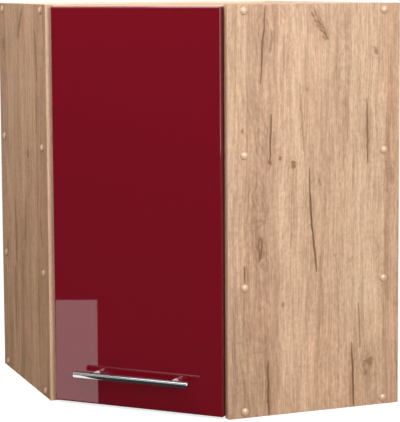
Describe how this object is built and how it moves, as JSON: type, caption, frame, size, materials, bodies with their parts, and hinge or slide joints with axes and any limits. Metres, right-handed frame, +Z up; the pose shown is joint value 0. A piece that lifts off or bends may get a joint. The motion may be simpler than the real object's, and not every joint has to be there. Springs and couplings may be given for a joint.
{
  "type": "corner wall cabinet",
  "caption": "Diagonal corner wall cabinet with wood-decor panels, a high-gloss red door on concealed hinges, a chrome bar handle and domed screw caps.",
  "frame": {"origin": "on the underside, below the middle of the cabinet's box", "axes": "+X to the right along the door, +Y from the door back to the corner of the two walls, +Z up"},
  "size_m": [0.8486, 0.6792, 0.746],
  "materials": {
    "oak_decor_board": "satin melamine with an oak decor, grain upright on the sides",
    "oak_edge_band": "satin edge band with the same decor",
    "door_gloss_red": "high-gloss dark red foil on fibreboard",
    "hardboard": "hardboard, white inside and brown at the rear",
    "cover_cap_plastic": "smooth, light brown",
    "handle_chrome": "polished",
    "nickel_steel": "nickel plated",
    "zinc_steel": "zinc plated",
    "galvanised_steel": "galvanised",
    "bracket_plastic": "matt, off-white",
    "bumper": "soft, translucent"
  },
  "bodies": {
    "carcase": {"left_side": "oak_decor_board", "right_side": "oak_decor_board", "left_side_edging": "oak_edge_band", "right_side_edging": "oak_edge_band", "bottom_board": "oak_decor_board", "lower_shelf": "oak_decor_board", "upper_shelf": "oak_decor_board", "top_board": "oak_decor_board", "bottom_board_edging": "oak_edge_band", "lower_shelf_edging": "oak_edge_band", "upper_shelf_edging": "oak_edge_band", "top_board_edging": "oak_edge_band", "left_back": "hardboard", "right_back": "hardboard", "back_nails": "zinc_steel", "left_carcase_screws": "zinc_steel", "right_carcase_screws": "zinc_steel", "left_cover_caps": "cover_cap_plastic", "right_cover_caps": "cover_cap_plastic", "left_hanging_bracket": "bracket_plastic", "right_hanging_bracket": "bracket_plastic", "left_bracket_adjusters": "zinc_steel", "right_bracket_adjusters": "zinc_steel", "left_bracket_screws": "zinc_steel", "right_bracket_screws": "zinc_steel", "upper_mounting_plate": "nickel_steel", "upper_hinge_arm": "nickel_steel", "upper_plate_screws": "zinc_steel", "upper_arm_fixing_screw": "zinc_steel", "upper_side_adjuster": "zinc_steel", "lower_mounting_plate": "nickel_steel", "lower_hinge_arm": "nickel_steel", "lower_plate_screws": "zinc_steel", "lower_arm_fixing_screw": "zinc_steel", "lower_side_adjuster": "zinc_steel"},
    "door_leaf": {"door": "door_gloss_red", "handle_bar": "handle_chrome", "left_handle_post": "handle_chrome", "right_handle_post": "handle_chrome", "handle_screws": "zinc_steel", "door_bumpers": "bumper", "upper_hinge_cup": "nickel_steel", "upper_hinge_pin": "nickel_steel", "upper_cup_screws": "zinc_steel", "lower_hinge_cup": "nickel_steel", "lower_hinge_pin": "nickel_steel", "lower_cup_screws": "zinc_steel"},
    "right_hook_slider": {"right_hook": "galvanised_steel"},
    "left_hook_slider": {"left_hook": "galvanised_steel"}
  },
  "joints": [
    {"name": "door_hinge", "type": "hinge", "parent": "carcase", "child": "door_leaf", "pos_m": [-0.16002, -0.29886, 0.373], "axis": [0, 0, -1], "range_deg": [0, 95]},
    {"name": "right_hook_lift", "type": "slide", "parent": "carcase", "child": "right_hook_slider", "axis": [0, 0, 1], "range_m": [-0.006, 0.006]},
    {"name": "left_hook_lift", "type": "slide", "parent": "carcase", "child": "left_hook_slider", "axis": [0, 0, 1], "range_m": [-0.006, 0.006]}
  ]
}
